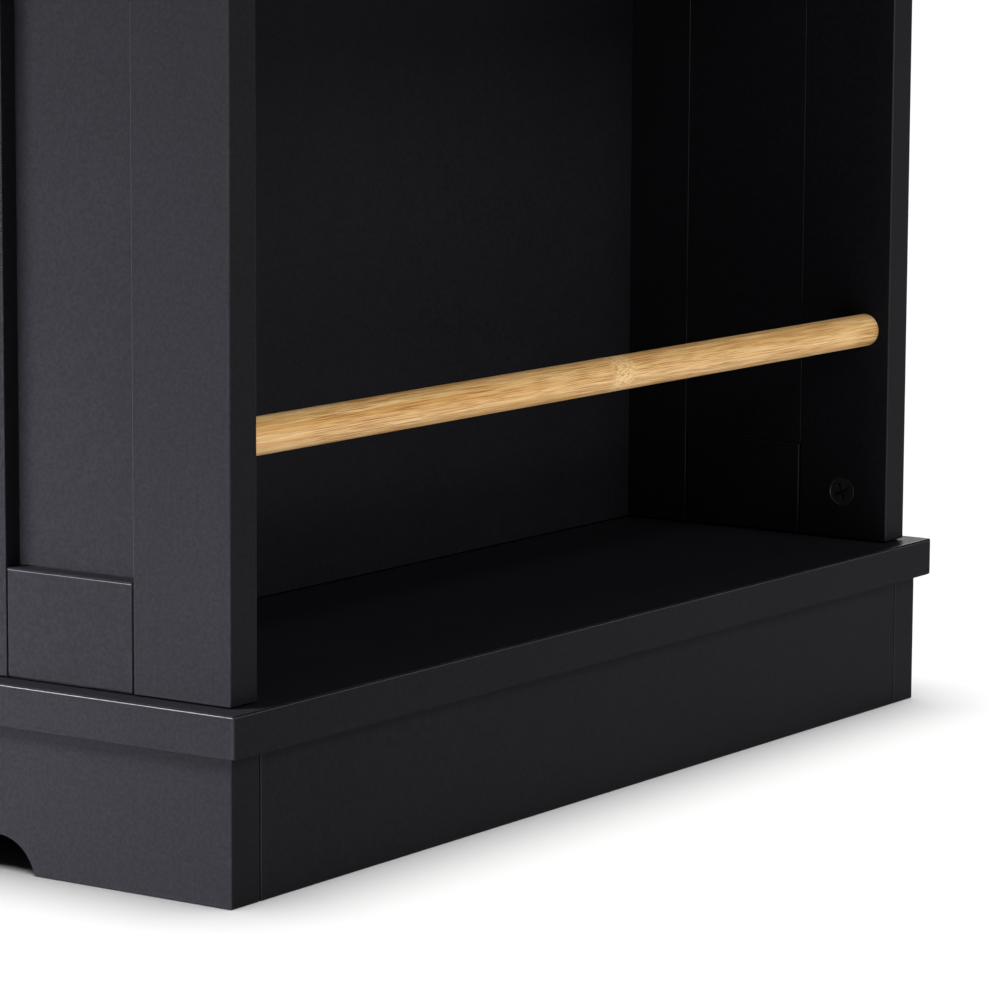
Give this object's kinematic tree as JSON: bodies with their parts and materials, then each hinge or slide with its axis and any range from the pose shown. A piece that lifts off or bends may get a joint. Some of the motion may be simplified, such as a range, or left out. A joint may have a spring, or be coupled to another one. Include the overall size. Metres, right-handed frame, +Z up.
{
  "type": "kitchen island cart",
  "caption": "Painted kitchen island on a plinth, with an open end rack behind round wooden guard rails, and doors and drawers under a wooden worktop.",
  "frame": {"origin": "on the floor, under the middle of the worktop", "axes": "+Z up, +X along the length towards the open rack end, -Y towards the side with the doors and drawers"},
  "size_m": [1.2, 0.6, 0.915],
  "materials": {
    "black_paint": "satin charcoal paint on board",
    "bamboo": "clear matt lacquer on bamboo",
    "worktop_wood": "oiled laminated wood",
    "drawer_board": "grey melamine board",
    "dark_zinc": "blackened zinc casting",
    "zinc_steel": "zinc plated steel",
    "black_metal": "black powder coat",
    "catch_plastic": "moulded plastic"
  },
  "bodies": {
    "carcass": {"back_centre_stile": "black_paint", "back_panels": "black_paint", "back_rails": "black_paint", "base_board": "black_paint", "cabinet_shelves": "black_paint", "centre_partition": "black_paint", "closed_end_panel": "black_paint", "closed_end_plinth": "black_paint", "closed_end_rails": "black_paint", "closed_end_stiles": "black_paint", "corner_stiles": "black_paint", "door_catches": "catch_plastic", "frame_hinges": "black_metal", "front_cheek_panel": "black_paint", "front_cheek_rails": "black_paint", "front_cheek_stiles": "black_paint", "front_mid_rails": "black_paint", "front_plinth": "black_paint", "front_top_rail": "black_paint", "lower_guard_rail": "bamboo", "lower_rack_shelf": "black_paint", "middle_guard_rail": "bamboo", "plinth_cross_boards": "black_paint", "rack_cam_bolts": "zinc_steel", "rack_cam_locks": "dark_zinc", "rack_divider": "black_paint", "rack_end_plinth": "black_paint", "rear_cheek_panel": "black_paint", "rear_cheek_rails": "black_paint", "rear_cheek_stiles": "black_paint", "rear_plinth": "black_paint", "runner_channels": "zinc_steel", "runner_cleat": "black_paint", "shelf_pins": "zinc_steel", "top_boards": "black_paint", "upper_guard_rail": "bamboo", "upper_rack_shelf": "black_paint", "worktop": "worktop_wood"},
    "left_door": {"left_door_stiles": "black_paint", "left_door_rails": "black_paint", "left_door_panel": "black_paint", "left_door_knob": "bamboo", "left_door_hinges": "black_metal"},
    "left_drawer": {"left_drawer_front": "black_paint", "left_drawer_sides": "drawer_board", "left_drawer_back": "drawer_board", "left_drawer_bottom": "drawer_board", "left_drawer_knob": "bamboo", "left_runner_bars": "zinc_steel"},
    "right_door": {"right_door_stiles": "black_paint", "right_door_rails": "black_paint", "right_door_panel": "black_paint", "right_door_knob": "bamboo", "right_door_hinges": "black_metal"},
    "right_drawer": {"right_drawer_front": "black_paint", "right_drawer_sides": "drawer_board", "right_drawer_back": "drawer_board", "right_drawer_bottom": "drawer_board", "right_drawer_knob": "bamboo", "right_runner_bars": "zinc_steel"}
  },
  "joints": [
    {"name": "left_door_swing", "type": "hinge", "parent": "carcass", "child": "left_door", "pos_m": [-0.5235, -0.28, 0.385], "axis": [0, 0, -1], "range_deg": [0, 110]},
    {"name": "right_door_swing", "type": "hinge", "parent": "carcass", "child": "right_door", "pos_m": [0.4065, -0.28, 0.385], "axis": [0, 0, 1], "range_deg": [0, 110]},
    {"name": "left_drawer_slide", "type": "slide", "parent": "carcass", "child": "left_drawer", "axis": [0, -1, 0], "range_m": [0, 0.33]},
    {"name": "right_drawer_slide", "type": "slide", "parent": "carcass", "child": "right_drawer", "axis": [0, -1, 0], "range_m": [0, 0.33]}
  ]
}
